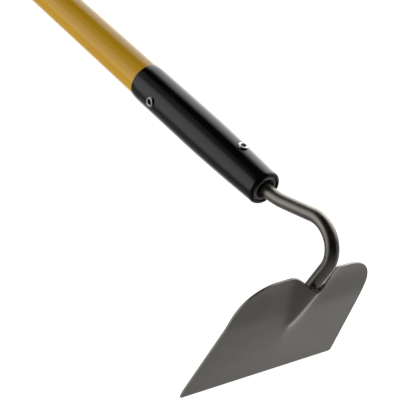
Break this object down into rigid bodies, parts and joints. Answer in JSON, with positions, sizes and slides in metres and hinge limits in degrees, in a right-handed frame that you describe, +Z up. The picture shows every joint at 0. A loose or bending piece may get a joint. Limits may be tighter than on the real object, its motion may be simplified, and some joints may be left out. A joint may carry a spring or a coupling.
{
  "type": "gooseneck hoe",
  "caption": "Long handled garden hoe: pressed steel blade with a heart shaped top and a centre rib, bent steel neck, riveted ferrule and fibreglass handle.",
  "frame": {"origin": "middle of the underside of the hoe's box, as it lies on level ground on its cutting edge and on the rim of its butt cap", "axes": "+X along the handle's plan from the butt to the head, +Y to the tool's right hand side, +Z up"},
  "size_m": [1.5452, 0.1608, 0.1596],
  "materials": {
    "fibreglass": "glossy, amber yellow fibreglass with fine fibres along it",
    "black_paint": "glossy black enamel",
    "grey_insert": "dull grey",
    "dark_filler": "dull dark olive",
    "neck_steel": "smooth forged steel, clear lacquered",
    "blade_steel": "satin pressed steel, clear lacquered",
    "weld_steel": "dark weld metal",
    "rivet_metal": "bright zinc plate",
    "black_vinyl": "semi matt vinyl"
  },
  "bodies": {
    "root": {"handle_tube": "fibreglass", "ferrule": "black_paint", "tang_adapter": "grey_insert", "shank_seal": "dark_filler", "gooseneck": "neck_steel", "blade": "blade_steel", "rim_weld": "weld_steel", "left_weld": "weld_steel", "right_weld": "weld_steel", "upper_rivet": "rivet_metal", "lower_rivet": "rivet_metal", "butt_cap": "black_vinyl"}
  },
  "joints": []
}
